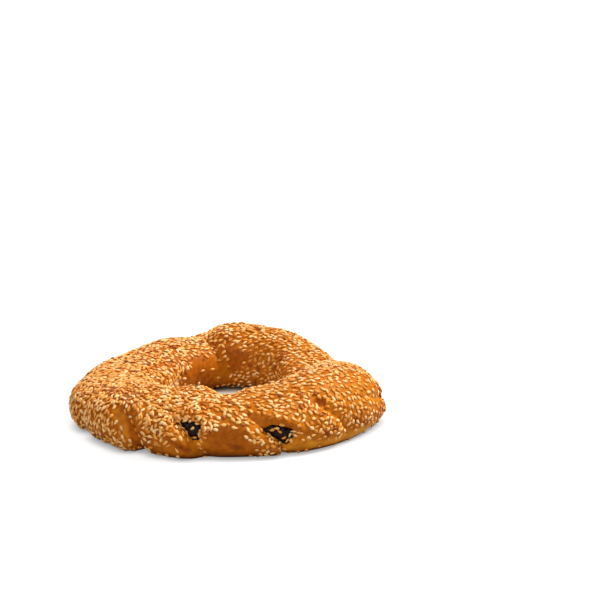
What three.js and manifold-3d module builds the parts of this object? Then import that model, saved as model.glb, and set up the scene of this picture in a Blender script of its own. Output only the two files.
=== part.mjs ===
// A stuffed simit: a thick rope of bread dough, twisted, closed to an uneven ring and baked flat underneath. A core of
// chocolate runs right round inside the rope, and shows at two splits in the front of the crust.
//
// Millimetres and degrees, +Z up, resting on z = 0. A place on the rope is a pair of angles: the ring angle goes round
// the hole from +X towards +Y, so the front is at -90, and the section angle goes round the rope from its outer side (0)
// over the top (90) to the side that faces the hole (180) and under the base (270).

import * as THREE from "three";
import { mergeVertices } from "three/addons/utils/BufferGeometryUtils.js";
import Module from "manifold-3d";

// The rope.
const RING_RADIUS = 59.5; // from the middle of the hole to the middle of the rope
const HALF_WIDTH = 21.5;
const HALF_HEIGHT = 15;
const MIDDLE_HEIGHT = 0.82; // height of the rope's middle over the table, as a share of the half height
const SIDE_ROUNDING = { upper: 0.9, lower: 0.68 }; // 1 is an ellipse, and less gives fuller sides
const FOOT_SWELL = 0.3; // how far the rope's lower half swells down, as a share of how far it would swell evenly

// Where the rope swells, thins or wanders: `at` is the ring angle, `reach` how far it goes in degrees, and the rest is
// what it adds to the ring radius, the half width and the half height.
const SWELLINGS = [
  { at: 180, reach: 50, radius: 3.5, width: 2.4, height: -2 },
  { at: -130, reach: 28, radius: 1.5, width: 1, height: 1.5 },
  { at: -92, reach: 26, radius: -2.8, width: -0.5, height: -0.5 },
  { at: -48, reach: 26, radius: -1, width: 0.5, height: 3.2 },
  { at: -8, reach: 24, radius: 0.3, width: 0.5, height: 1.6 },
  { at: 26, reach: 25, radius: -7.5, width: -1, height: -3 },
  { at: 80, reach: 32, radius: 4.3, width: -2.6, height: 3 },
  { at: 118, reach: 22, radius: 2.6, width: -1.5, height: 0 },
];

// The folds that the twist leaves, each a crease between two round lobes. `from` and `to` are pairs of ring and section
// angles, and `bow` is how far the crease bows between them, in degrees of ring angle. `depth` is that of the crease, and
// `left` and `right` are how far each lobe's shoulder reaches from it. A `tightness` of 1 makes round shoulders that meet
// in a sharp crease, and one of 0 makes a soft valley.
const FRONT_FOLDS = [
  { from: [-158, 62], to: [-161, -90], bow: 3, depth: 6.4, left: 7, right: 10, tightness: 0.5 },
  { from: [-136, 48], to: [-131, -110], bow: 7.5, depth: 8.8, left: 12, right: 8, tightness: 0.75 },
  { from: [-121, 64], to: [-101, -76], bow: 5, depth: 3.6, left: 6, right: 13, tightness: 0.5 },
  { from: [-92, 62], to: [-71, -58], bow: 4, depth: 2.4, left: 9, right: 10, tightness: 0.3 },
  { from: [-75, 6], to: [-71.2, -88], bow: 1, depth: 3.4, left: 3, right: 13, tightness: 0.6 },
  { from: [-63, 54], to: [-40, -46], bow: 2, depth: 2.8, left: 6, right: 14, tightness: 0.15 },
  { from: [-42, 36], to: [6, -20], bow: 0, depth: 2.4, left: 8, right: 7, tightness: 0.2 },
];
const INNER_FOLD = { from: [108, 84], to: [85, 232], bow: 2, depth: 5, left: 13, right: 6, tightness: 0.6 };

// The same twist goes on round the back and the side of the hole, at an even pitch.
const FOLD_PITCH = 27.5;
const BACK_FOLDS = { first: 0, count: 7, lean: 20, top: 58, bottom: -48, depth: 3.4, left: 9, right: 13 };
const HOLE_FOLDS = { first: 150, count: 8, lean: -20, top: 118, bottom: 225, depth: 2.8, left: 10, right: 10 };
const SERIES_TIGHTNESS = 0.5;
const FOLD_POINTS = 16; // points along each crease
const FOLD_FADE = 0.28; // share of a crease over which it fades out at each end

// Local rises and dips in the crust: `at` is a pair of angles, `reach` a radius and `rise` a height.
const HUMPS = [
  { at: [-166, -34], reach: 9, rise: 1.2 },
  { at: [-130, -38], reach: 8, rise: 2 },
  { at: [-109, -42], reach: 9, rise: 2.4 },
  { at: [-75.5, -30], reach: 6, rise: 1.8 },
  { at: [-72, 18], reach: 8, rise: 1.6 },
  { at: [-14, -30], reach: 8, rise: 1.8 },
  { at: [2, 35], reach: 14, rise: -1.6 },
  { at: [-55.5, 38], reach: 3.5, rise: -1.2 },
  { at: [-95, 105], reach: 5.5, rise: -4.6 },
  { at: [-109, 100], reach: 9, rise: 2.8 },
  { at: [-80, 100], reach: 8, rise: 1.6 },
  { at: [-50, 85], reach: 15, rise: 1.5 },
  { at: [92, 92], reach: 13, rise: 2.6 },
  { at: [108, 85], reach: 8, rise: -3.4 },
  { at: [128, 80], reach: 10, rise: 1.2 },
  { at: [92, 238], reach: 16, rise: -2.8 },
  { at: [-9, 40], reach: 11, rise: -2.8 },
];

// The chocolate core, and how far it lies off the rope's middle, towards the splits.
const CORE_RADIUS = 6;
const CORE_OFFSET = { at: -90, reach: 40, out: 5 };

// The splits in the crust, where the chocolate has pushed through. `at` is a pair of angles, `recess` is how far the
// chocolate stays below the crust, and the torn outline goes clockwise round that place, in millimetres along the rope
// and up its side.
const SPLITS = [
  {
    at: [-106.5, 12],
    recess: 3,
    outline: [
      [-7.6, 2.6],
      [-5.2, 4.2],
      [-1, 4.4],
      [2.6, 4.2],
      [5.1, 2.6],
      [5, -1],
      [4.3, -4.3],
      [1.1, -5],
      [-3.1, -0.5],
    ],
  },
  {
    at: [-73, -2],
    recess: 1.4,
    outline: [
      [-8.2, 2],
      [-4.7, 4.4],
      [0, 4.2],
      [4.9, 2.3],
      [7.5, -0.5],
      [6.4, -2.7],
      [3.5, -6.2],
      [2, -5.8],
      [-0.9, -2.9],
      [-4.9, -0.9],
    ],
  },
];
const SPLIT_OVERSHOOT = 6; // how far the cut goes past the crust
const GAP = 0.3; // between the chocolate and the dough
const TUNNEL_GAP = 0.36; // the same round the core, whose facets cut a little off the gap

// How finely the surfaces are faceted, along the ring and round the section.
const CRUST_FACETS = { ringSteps: 120, sectionSteps: 32, twist: 27 };
const CORE_FACETS = { ringSteps: 60, sectionSteps: 7 };

const CRUST_COLOUR = 0xc27a32;
const CHOCOLATE_COLOUR = 0x2a1710;

const wasm = await Module();
wasm.setup();

const { degToRad, smoothstep, euclideanModulo, lerp } = THREE.MathUtils;
const cosine = (degrees) => Math.cos(degToRad(degrees));
const sine = (degrees) => Math.sin(degToRad(degrees));

// The shortest turn from one ring angle to another, in degrees.
function turnBetween(from, to) {
  return euclideanModulo(to - from + 180, 360) - 180;
}

// A bell curve that is 1 at its middle and falls off over the reach.
function bell(distance, reach) {
  return Math.exp(-((distance / reach) ** 2));
}

// The rope's radius, half width and half height at a ring angle.
function ropeAt(ring) {
  const rope = { radius: RING_RADIUS, width: HALF_WIDTH, height: HALF_HEIGHT };
  for (const swelling of SWELLINGS) {
    const share = bell(turnBetween(swelling.at, ring), swelling.reach);
    rope.radius += swelling.radius * share;
    rope.width += swelling.width * share;
    rope.height += swelling.height * share;
  }
  return rope;
}

// A point at a ring angle, a distance from the middle of the hole and a height.
function polar(ring, distance, height) {
  return new THREE.Vector3(distance * cosine(ring), distance * sine(ring), height);
}

// The direction that points out of the rope.
function outward(ring, section) {
  return polar(ring, cosine(section), sine(section));
}

// The direction in which the rope swells there: out of it, but nearly level in its lower half.
function swellWay(ring, section) {
  const way = outward(ring, section);
  if (way.z < 0) way.z *= FOOT_SWELL;
  return way.normalize();
}

// The smooth rope, before its folds, humps and flat base.
function smoothPoint(ring, section) {
  const rope = ropeAt(ring);
  const across = cosine(section);
  const up = sine(section);
  const rounding = up > 0 ? SIDE_ROUNDING.upper : SIDE_ROUNDING.lower;
  const reach = rope.width * Math.sign(across) * Math.abs(across) ** rounding;
  return polar(ring, rope.radius + reach, rope.height * (MIDDLE_HEIGHT + up));
}

// A fold of the even series round the back or the hole: the index-th of its family.
function seriesFold(family, index) {
  const ring = family.first + index * FOLD_PITCH;
  const share = 0.85 + 0.15 * cosine(index * 140);
  return {
    from: [ring, family.top],
    to: [ring + family.lean, family.bottom],
    bow: 0,
    depth: family.depth * share,
    left: family.left,
    right: family.right,
    tightness: SERIES_TIGHTNESS,
  };
}

// Every fold, with the points of its crease on the smooth rope.
function makeFolds() {
  const folds = [...FRONT_FOLDS, INNER_FOLD];
  for (const family of [BACK_FOLDS, HOLE_FOLDS])
    for (let i = 0; i < family.count; i++) {
      const fold = seriesFold(family, i);
      const clash = family === HOLE_FOLDS && Math.abs(turnBetween(INNER_FOLD.from[0], fold.from[0])) < FOLD_PITCH;
      if (!clash) folds.push(fold);
    }
  for (const fold of folds) {
    fold.crease = [];
    for (let i = 0; i < FOLD_POINTS; i++) {
      const share = i / (FOLD_POINTS - 1);
      const ring = lerp(fold.from[0], fold.to[0], share) + 4 * fold.bow * share * (1 - share);
      const section = lerp(fold.from[1], fold.to[1], share);
      fold.crease.push(smoothPoint(ring, section));
    }
  }
  return folds;
}

const folds = makeFolds();
const humps = HUMPS.map((hump) => ({ ...hump, top: smoothPoint(...hump.at) }));

// How deep a fold is at a point of the smooth rope, given the direction in which the rope swells there.
function foldDepth(fold, point, way) {
  const segment = new THREE.Line3();
  const nearest = new THREE.Vector3();
  let best = { distance: Infinity };
  for (let i = 0; i + 1 < fold.crease.length; i++) {
    segment.set(fold.crease[i], fold.crease[i + 1]);
    const share = segment.closestPointToPointParameter(point, true);
    segment.at(share, nearest);
    const distance = nearest.distanceTo(point);
    if (distance < best.distance) {
      const along = segment.delta(new THREE.Vector3());
      const side = along.cross(way).dot(point.clone().sub(nearest));
      best = { distance, side, along: (i + share) / (fold.crease.length - 1) };
    }
  }
  const shoulder = best.side > 0 ? fold.left : fold.right;
  if (best.distance >= shoulder) return 0;
  const nearness = 1 - best.distance / shoulder;
  const soft = nearness ** 2;
  const tight = 1 - Math.sqrt(1 - nearness ** 2);
  const fade = smoothstep(best.along, 0, FOLD_FADE) * smoothstep(1 - best.along, 0, FOLD_FADE);
  return fold.depth * fade * lerp(soft, tight, fold.tightness);
}

// The crust: the smooth rope with its folds pressed in, its humps raised and its base flat on the table.
function crustPoint(ring, section) {
  const point = smoothPoint(ring, section);
  const way = swellWay(ring, section);
  let rise = 0;
  for (const fold of folds) rise -= foldDepth(fold, point, way);
  for (const hump of humps) rise += hump.rise * bell(point.distanceTo(hump.top), hump.reach);
  point.addScaledVector(way, rise);
  point.z = Math.max(0, point.z);
  return point;
}

// The middle of the chocolate core at a ring angle.
function coreMiddle(ring) {
  const rope = ropeAt(ring);
  const out = CORE_OFFSET.out * bell(turnBetween(CORE_OFFSET.at, ring), CORE_OFFSET.reach);
  return polar(ring, rope.radius + out, rope.height * MIDDLE_HEIGHT);
}

function corePoint(ring, section, radius) {
  return coreMiddle(ring).addScaledVector(outward(ring, section), radius);
}

// A closed ring whose points are given by a function of the two angles. Its rows of facets drift back along the ring by
// `twist` ring steps in one turn of the section, so that they run along the folds of a twisted rope.
function ringSolid({ ringSteps, sectionSteps, twist = 0 }, pointAt) {
  const geometry = new THREE.TorusGeometry(RING_RADIUS, CORE_RADIUS, sectionSteps, ringSteps);
  const position = geometry.getAttribute("position");
  const fineSteps = ringSteps * sectionSteps;
  for (let index = 0; index < position.count; index++) {
    const i = index % (ringSteps + 1);
    const j = Math.floor(index / (ringSteps + 1));
    const fine = euclideanModulo(i * sectionSteps - j * twist, fineSteps);
    const point = pointAt((360 * fine) / fineSteps, (360 * (j % sectionSteps)) / sectionSteps);
    position.setXYZ(index, point.x, point.y, point.z);
  }
  return toSolid(geometry);
}

function toSolid(geometry) {
  geometry.deleteAttribute("normal");
  geometry.deleteAttribute("uv");
  const merged = mergeVertices(geometry, 1e-3);
  return new wasm.Manifold(
    new wasm.Mesh({
      numProp: 3,
      vertProperties: merged.getAttribute("position").array,
      triVerts: new Uint32Array(merged.index.array),
    }),
  );
}

function toGeometry(solid) {
  const mesh = solid.getMesh();
  const geometry = new THREE.BufferGeometry();
  geometry.setAttribute("position", new THREE.BufferAttribute(mesh.vertProperties, 3));
  geometry.setIndex(new THREE.BufferAttribute(mesh.triVerts, 1));
  geometry.computeVertexNormals();
  return geometry;
}

// An outline's corners as a shape, all moved in by `inset`.
function insetShape(outline, inset) {
  const corners = outline.map((place) => new THREE.Vector2(...place));
  const moved = corners.map((corner, i) => {
    const before = corner.clone().sub(corners.at(i - 1)).normalize();
    const after = corners[(i + 1) % corners.length].clone().sub(corner).normalize();
    const between = before.clone().add(after).divideScalar(1 + before.dot(after));
    return new THREE.Vector2(between.y, -between.x).multiplyScalar(inset).add(corner);
  });
  return new THREE.Shape(moved);
}

// A prism in the outline of a split, from `inner` to `outer` along the split's own direction, both measured from the
// middle of the core, and `inset` smaller all round.
function splitPrism(split, inset, inner, outer) {
  const ring = split.at[0];
  const prism = new THREE.ExtrudeGeometry(insetShape(split.outline, inset), {
    depth: outer - inner,
    bevelEnabled: false,
  });
  const out = splitDirection(split);
  const upRope = out.clone().cross(polar(ring + 90, 1, 0)).normalize();
  const alongRope = upRope.clone().cross(out);
  const start = coreMiddle(ring).addScaledVector(out, inner);
  prism.applyMatrix4(new THREE.Matrix4().makeBasis(alongRope, upRope, out).setPosition(start));
  return toSolid(prism);
}

// From the middle of the core to the middle of the split in the crust.
function splitVector(split) {
  return crustPoint(...split.at).sub(coreMiddle(split.at[0]));
}

function splitDirection(split) {
  return splitVector(split).normalize();
}

function makeFilling() {
  let filling = ringSolid(CORE_FACETS, (ring, section) => corePoint(ring, section, CORE_RADIUS));
  for (const split of SPLITS) {
    const outer = splitVector(split).length() - split.recess;
    filling = filling.add(splitPrism(split, GAP, 0, outer));
  }
  return filling;
}

function makeDough() {
  const tunnel = ringSolid(CORE_FACETS, (ring, section) => corePoint(ring, section, CORE_RADIUS + TUNNEL_GAP));
  let dough = ringSolid(CRUST_FACETS, crustPoint).subtract(tunnel);
  for (const split of SPLITS) {
    const outer = splitVector(split).length() + SPLIT_OVERSHOOT;
    dough = dough.subtract(splitPrism(split, 0, -GAP, outer));
  }
  return dough;
}

function makeMesh(name, solid, colour, roughness) {
  const material = new THREE.MeshStandardMaterial({ color: colour, roughness, metalness: 0 });
  const mesh = new THREE.Mesh(toGeometry(solid), material);
  mesh.name = name;
  return mesh;
}

const simit = new THREE.Group();
simit.add(makeMesh("dough", makeDough(), CRUST_COLOUR, 0.55));
simit.add(makeMesh("filling", makeFilling(), CHOCOLATE_COLOUR, 0.35));

// The origin is under the middle of the whole, on the table.
const middle = new THREE.Box3().setFromObject(simit).getCenter(new THREE.Vector3());
simit.position.set(-middle.x, -middle.y, 0);

export default simit;
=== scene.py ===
"""The looks of a stuffed simit: a ring of baked dough, its chocolate core, and the sesame seeds on it.

Lengths are in millimetres and angles in degrees while a piece is shaped, and its mesh is scaled to metres
at the end. A place on the rope of dough is a pair of angles: the ring angle goes round the hole from +X
towards +Y, so the front is at -90, and the section angle goes round the rope from its outer side (0) over
the top (90) to the side that faces the hole (180) and under the base (270).
"""

from __future__ import annotations

import logging
import math
from dataclasses import dataclass
from enum import Enum

import bmesh
import bpy
import numpy as np
from mathutils import Euler, Matrix, Vector, noise


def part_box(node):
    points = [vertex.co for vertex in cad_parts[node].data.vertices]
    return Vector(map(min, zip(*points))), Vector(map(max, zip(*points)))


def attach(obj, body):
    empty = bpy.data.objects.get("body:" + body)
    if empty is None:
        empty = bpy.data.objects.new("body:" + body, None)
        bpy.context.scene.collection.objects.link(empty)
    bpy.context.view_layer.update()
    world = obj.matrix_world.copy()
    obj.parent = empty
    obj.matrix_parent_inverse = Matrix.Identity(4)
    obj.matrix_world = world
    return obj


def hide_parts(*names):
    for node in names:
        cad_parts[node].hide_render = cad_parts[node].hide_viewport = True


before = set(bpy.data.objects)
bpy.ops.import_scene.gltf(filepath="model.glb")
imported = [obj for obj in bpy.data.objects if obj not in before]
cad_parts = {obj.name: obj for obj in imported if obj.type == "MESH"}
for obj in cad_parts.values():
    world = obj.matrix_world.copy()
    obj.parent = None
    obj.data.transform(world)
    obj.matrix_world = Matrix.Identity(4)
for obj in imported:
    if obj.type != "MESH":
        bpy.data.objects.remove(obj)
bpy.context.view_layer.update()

log = logging.getLogger("simit")

MM = 0.001
SEED = 20
TINY = 1e-9

Array = np.ndarray
Chance = np.random.Generator
Shape = bmesh.types.BMesh
Mesh = bpy.types.Mesh
Piece = bpy.types.Object
Material = bpy.types.Material
Node = bpy.types.Node
NodeTree = bpy.types.NodeTree
Socket = bpy.types.NodeSocket
Angles = tuple[float, float]
Colour = tuple[float, float, float]


# --- Small maths ---


def turn_between(start: float | Array, end: float | Array) -> Array:
    """Find the shortest turn from one ring angle to another.

    Args:
        start: the first angle, in degrees.
        end: the second angle, in degrees.

    Returns:
        The turn, from -180 to 180 degrees.
    """
    return np.mod(np.asarray(end) - start + 180, 360) - 180


def bell(distance: Array, reach: float) -> Array:
    """Return a bell curve that is 1 at its middle and falls off over the reach."""
    return np.exp(-((distance / reach) ** 2))


def smooth_step(value: Array, low: float, high: float) -> Array:
    """Return 0 below low, 1 above high, and a smooth rise between them."""
    share = np.clip((value - low) / (high - low), 0, 1)
    return share * share * (3 - 2 * share)


def polar(ring: Array, distance: Array, height: Array) -> Array:
    """Turn places round the hole into points.

    Args:
        ring: ring angles.
        distance: distances from the middle of the hole.
        height: heights.

    Returns:
        The points.
    """
    angle = np.radians(ring)
    rows = np.broadcast_arrays(distance * np.cos(angle), distance * np.sin(angle), height)
    return np.stack(rows, axis=-1)


def outward(ring: Array, section: Array) -> Array:
    """Return the directions that point out of the rope."""
    angle = np.radians(section)
    return polar(ring, np.cos(angle), np.sin(angle))


def unit(vectors: Array) -> Array:
    """Return the vectors at length 1."""
    return vectors / np.maximum(np.linalg.norm(vectors, axis=-1, keepdims=True), TINY)


def signed_distance(x: Array, y: Array, outline: Array) -> Array:
    """Find how far places are from a closed outline.

    Args:
        x: the first coordinate of each place.
        y: the second.
        outline: the corners of the outline, one to a row.

    Returns:
        The distances, which are below 0 inside it.
    """
    places = np.stack([x, y], axis=-1)
    nearest = np.full(len(places), np.inf)
    inside = np.zeros(len(places), bool)
    for start, end in zip(outline, np.roll(outline, -1, axis=0)):
        step = end - start
        share = np.clip((places - start) @ step / (step @ step), 0, 1)
        nearest = np.minimum(nearest, np.linalg.norm(places - start - share[:, None] * step, axis=1))
        crosses = (start[1] > y) != (end[1] > y)
        rise = np.where(crosses, (y - start[1]) / (step[1] if step[1] else 1), 0)
        inside ^= crosses & (x < start[0] + rise * step[0])
    return np.where(inside, -nearest, nearest)


def cloud(points: Array, size: float, octaves: int, shift: float = 0.0) -> Array:
    """Sample a soft noise.

    Args:
        points: where, in millimetres.
        size: the width of its largest patches, in millimetres.
        octaves: how many times finer noise is added.
        shift: moves the pattern, so that two clouds differ.

    Returns:
        One value for each point, about -1 to 1.
    """
    scaled = points / size + shift
    return np.array([noise.fractal(Vector(p), 1.0, 2.0, octaves) for p in scaled])


# --- The shape of the rope, as in the solids ---


@dataclass(frozen=True)
class Swelling:
    """A stretch where the rope swells, thins or wanders off its circle: what it adds round a ring angle."""

    at: float
    reach: float
    radius: float
    width: float
    height: float


@dataclass(frozen=True)
class Fold:
    """A crease that the twist leaves, between a round lobe on each side of it."""

    start: Angles
    end: Angles
    depth: float
    left: float
    right: float
    tightness: float = 0.5
    bow: float = 0.0


@dataclass(frozen=True)
class Hump:
    """A local rise or dip in the crust."""

    at: Angles
    reach: float
    rise: float


@dataclass(frozen=True)
class FoldSeries:
    """Folds at an even pitch round the ring, where the same twist goes on."""

    first: float
    count: int
    lean: float
    top: float
    bottom: float
    depth: float
    left: float
    right: float
    pitch: float = 27.5

    def folds(self) -> list[Fold]:
        """Lay out the series.

        Returns:
            Its folds, some of them deeper than others.
        """
        made = []
        for index in range(self.count):
            ring = self.first + index * self.pitch
            depth = self.depth * (0.85 + 0.15 * math.cos(math.radians(index * 140)))
            foot = (ring + self.lean, self.bottom)
            made.append(Fold((ring, self.top), foot, depth, self.left, self.right))
        return made


@dataclass(frozen=True)
class Split:
    """A split in the crust, with its outline round its middle, in millimetres along and up the rope."""

    at: Angles
    recess: float
    outline: tuple[tuple[float, float], ...]

    def reach(self, angle: Array) -> Array:
        """Find how far the outline is from the middle.

        Args:
            angle: directions from the middle, in radians.

        Returns:
            The distance in each direction.
        """
        corners = np.array([*self.outline, self.outline[0]])
        steps = np.linspace(0, 1, 9)[:-1]
        pairs = zip(corners[:-1], corners[1:])
        points = np.concatenate([start + (end - start) * steps[:, None] for start, end in pairs])
        turn = np.arctan2(points[:, 1], points[:, 0])
        order = turn.argsort()
        return np.interp(angle, turn[order], np.hypot(*points.T)[order], period=math.tau)


@dataclass
class Rope:
    """The rope of dough, closed to a ring."""

    ring_radius: float = 59.5
    half_width: float = 21.5
    half_height: float = 15.0
    middle_height: float = 0.82
    side_rounding: float = 0.9
    foot_rounding: float = 0.68
    core_radius: float = 6.0
    core_offset: tuple[float, float, float] = (-90, 40, 5)
    fold_points: int = 16
    fold_fade: float = 0.28
    deep_fold: float = 3.0
    foot_swell: float = 0.3
    swellings: tuple[Swelling, ...] = (
        Swelling(180, 50, 3.5, 2.4, -2),
        Swelling(-130, 28, 1.5, 1, 1.5),
        Swelling(-92, 26, -2.8, -0.5, -0.5),
        Swelling(-48, 26, -1, 0.5, 3.2),
        Swelling(-8, 24, 0.3, 0.5, 1.6),
        Swelling(26, 25, -7.5, -1, -3),
        Swelling(80, 32, 4.3, -2.6, 3),
        Swelling(118, 22, 2.6, -1.5, 0),
    )
    front_folds: tuple[Fold, ...] = (
        Fold((-158, 62), (-161, -90), 6.4, 7, 10, 0.5, 3),
        Fold((-136, 48), (-131, -110), 8.8, 12, 8, 0.75, 7.5),
        Fold((-121, 64), (-101, -76), 3.6, 6, 13, 0.5, 5),
        Fold((-92, 62), (-71, -58), 2.4, 9, 10, 0.3, 4),
        Fold((-75, 6), (-71.2, -88), 3.4, 3, 13, 0.6, 1),
        Fold((-63, 54), (-40, -46), 2.8, 6, 14, 0.15, 2),
        Fold((-42, 36), (6, -20), 2.4, 8, 7, 0.2, 0),
        Fold((108, 84), (85, 232), 5, 13, 6, 0.6, 2),
    )
    back_folds: FoldSeries = FoldSeries(0, 7, 20, 58, -48, 3.4, 9, 13)
    hole_folds: FoldSeries = FoldSeries(150, 8, -20, 118, 225, 2.8, 10, 10)
    humps: tuple[Hump, ...] = (
        Hump((-166, -34), 9, 1.2),
        Hump((-130, -38), 8, 2),
        Hump((-109, -42), 9, 2.4),
        Hump((-75.5, -30), 6, 1.8),
        Hump((-72, 18), 8, 1.6),
        Hump((-14, -30), 8, 1.8),
        Hump((2, 35), 14, -1.6),
        Hump((-55.5, 38), 3.5, -1.2),
        Hump((-95, 105), 5.5, -4.6),
        Hump((-109, 100), 9, 2.8),
        Hump((-80, 100), 8, 1.6),
        Hump((-50, 85), 15, 1.5),
        Hump((92, 92), 13, 2.6),
        Hump((108, 85), 8, -3.4),
        Hump((128, 80), 10, 1.2),
        Hump((92, 238), 16, -2.8),
        Hump((-9, 40), 11, -2.8),
    )

    def __post_init__(self) -> None:
        """Lay out every fold, and the points of its crease on the smooth rope."""
        inner = self.front_folds[-1]
        self.folds = list(self.front_folds) + self.back_folds.folds()
        for fold in self.hole_folds.folds():
            if abs(turn_between(inner.start[0], fold.start[0])) >= self.hole_folds.pitch:
                self.folds.append(fold)
        self.creases = []
        for fold in self.folds:
            share = np.linspace(0, 1, self.fold_points)
            (ring, section), (last_ring, last_section) = fold.start, fold.end
            ring = ring + (last_ring - ring) * share + 4 * fold.bow * share * (1 - share)
            section = section + (last_section - section) * share
            self.creases.append(self.smooth(ring, section))

    def profile(self, ring: Array) -> tuple[Array, Array, Array]:
        """Find how large the smooth rope is.

        Args:
            ring: ring angles.

        Returns:
            The radius of its middle round the hole, its half width and its half height there.
        """
        radius = np.full(np.shape(ring), self.ring_radius)
        width = np.full(np.shape(ring), self.half_width)
        height = np.full(np.shape(ring), self.half_height)
        for swelling in self.swellings:
            share = bell(turn_between(swelling.at, ring), swelling.reach)
            radius = radius + swelling.radius * share
            width = width + swelling.width * share
            height = height + swelling.height * share
        return radius, width, height

    def smooth(self, ring: Array, section: Array) -> Array:
        """Shape the smooth rope, before its folds, humps and flat base.

        Args:
            ring: ring angles.
            section: section angles.

        Returns:
            The points of the rope there.
        """
        radius, width, height = self.profile(ring)
        across, up = np.cos(np.radians(section)), np.sin(np.radians(section))
        rounding = np.where(up > 0, self.side_rounding, self.foot_rounding)
        reach = width * np.sign(across) * np.abs(across) ** rounding
        return polar(ring, radius + reach, height * (self.middle_height + up))

    def closeness(self, points: Array, at: Angles, reach: float) -> Array:
        """Return a bell curve over points that has its middle at a place on the smooth rope."""
        middle = self.smooth(np.array([at[0]]), np.array([at[1]]))
        return bell(np.linalg.norm(points - middle, axis=1), reach)

    def rise_way(self, ring: Array, section: Array) -> Array:
        """Find the way lobes swell: out of the rope, but level near its foot.

        Args:
            ring: ring angles.
            section: section angles.

        Returns:
            The direction at each place.
        """
        way = outward(ring, section)
        way[:, 2] = np.where(way[:, 2] < 0, way[:, 2] * self.foot_swell, way[:, 2])
        return unit(way)

    def core_middle(self, ring: Array) -> Array:
        """Find the middle of the chocolate core.

        Args:
            ring: ring angles.

        Returns:
            The point at each angle.
        """
        at, reach, out = self.core_offset
        radius, _, height = self.profile(ring)
        return polar(ring, radius + out * bell(turn_between(at, ring), reach), height * self.middle_height)

    def fold_rise(self, index: int, points: Array, normals: Array) -> tuple[Array, Array]:
        """Find how a fold presses the crust in.

        Args:
            index: which fold.
            points: points of the smooth rope.
            normals: the directions out of the rope there.

        Returns:
            The rise at each point, which is 0 or less, and how near the crease it is, from 0 to 1.
        """
        fold, crease = self.folds[index], self.creases[index]
        middle = crease[len(crease) // 2]
        reach = np.linalg.norm(crease - middle, axis=1).max() + max(fold.left, fold.right)
        near = np.linalg.norm(points - middle, axis=1) < reach
        rise = np.zeros(len(points))
        nearness = np.zeros(len(points))
        spots, ways = points[near], normals[near]
        best = np.full(len(spots), np.inf)
        side = np.zeros(len(spots))
        along = np.zeros(len(spots))
        for i, (start, end) in enumerate(zip(crease[:-1], crease[1:])):
            step = end - start
            share = np.clip((spots - start) @ step / (step @ step), 0, 1)
            offset = spots - (start + share[:, None] * step)
            distance = np.linalg.norm(offset, axis=1)
            nearer = distance < best
            best[nearer] = distance[nearer]
            side[nearer] = (np.cross(step, ways[nearer]) * offset[nearer]).sum(axis=1)
            along[nearer] = ((i + share) / (len(crease) - 1))[nearer]
        shoulder = np.where(side > 0, fold.left, fold.right)
        lift = np.clip(1 - best / shoulder, 0, 1)
        fade = smooth_step(along, 0, self.fold_fade) * smooth_step(1 - along, 0, self.fold_fade)
        tight = 1 - np.sqrt(1 - lift**2)
        rise[near] = -fold.depth * fade * (lift**2 + (tight - lift**2) * fold.tightness)
        nearness[near] = fade * lift
        return rise, nearness

    def crust(self, ring: Array, section: Array) -> tuple[Array, Array]:
        """Shape the crust.

        Args:
            ring: ring angles.
            section: section angles.

        Returns:
            The points of the crust, and how near a crease each is, from 0 to 1.
        """
        points = self.smooth(ring, section)
        normals = self.rise_way(ring, section)
        rise = np.zeros(len(points))
        nearness = np.zeros(len(points))
        for index in range(len(self.folds)):
            fold_rise, fold_nearness = self.fold_rise(index, points, normals)
            rise += fold_rise
            nearness = np.maximum(nearness, fold_nearness * min(1, self.folds[index].depth / self.deep_fold))
        for hump in self.humps:
            rise += hump.rise * self.closeness(points, hump.at, hump.reach)
        points = points + normals * rise[:, None]
        points[:, 2] = np.maximum(points[:, 2], 0)
        return points, nearness


# --- Meshes and objects ---


def read_rows(rows: bpy.types.bpy_prop_collection, name: str, width: int) -> Array:
    """Read a number or a vector from each row of a mesh's data.

    Args:
        rows: the mesh's vertices, their normals, or an attribute's data.
        name: what is read from each row.
        width: how many numbers a row holds.

    Returns:
        The values, with a row for each.
    """
    flat = np.empty(len(rows) * width, np.float32)
    rows.foreach_get(name, flat)
    return flat.reshape(-1, width).astype(float)


def coordinates(mesh: Mesh) -> Array:
    """Return a mesh's vertices as an array."""
    return read_rows(mesh.vertices, "co", 3)


def set_coordinates(mesh: Mesh, points: Array) -> None:
    """Move a mesh's vertices."""
    mesh.vertices.foreach_set("co", np.asarray(points, np.float32).ravel())
    mesh.update()


def set_attribute(mesh: Mesh, name: str, values: Array) -> None:
    """Store one number for each vertex."""
    attribute = mesh.attributes.new(name, "FLOAT", "POINT")
    attribute.data.foreach_set("value", np.asarray(values, np.float32))


def add_object(name: str, data: bpy.types.ID) -> Piece:
    """Put a mesh, a light or a camera in the scene.

    Args:
        name: the name of its object.
        data: what the object shows.

    Returns:
        The object.
    """
    piece = bpy.data.objects.new(name, data)
    bpy.context.scene.collection.objects.link(piece)
    return piece


def take_mesh(shape: Shape, name: str) -> Mesh:
    """Turn a bmesh into a mesh with smooth faces, and free it.

    The operators leave faces in an order that changes from run to run, so everything is sorted by place here.

    Args:
        shape: the bmesh.
        name: the name of the mesh.

    Returns:
        The mesh.
    """
    shape.verts.index_update()
    points = np.array([vertex.co for vertex in shape.verts])
    order = np.lexsort(points.T)
    rank = order.argsort().tolist()
    faces = []
    for face in shape.faces:
        corners = [rank[vertex.index] for vertex in face.verts]
        first = corners.index(min(corners))
        faces.append(corners[first:] + corners[:first])
    shape.free()
    mesh = bpy.data.meshes.new(name)
    mesh.from_pydata(points[order].tolist(), [], sorted(faces))
    mesh.shade_smooth()
    return mesh


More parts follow.
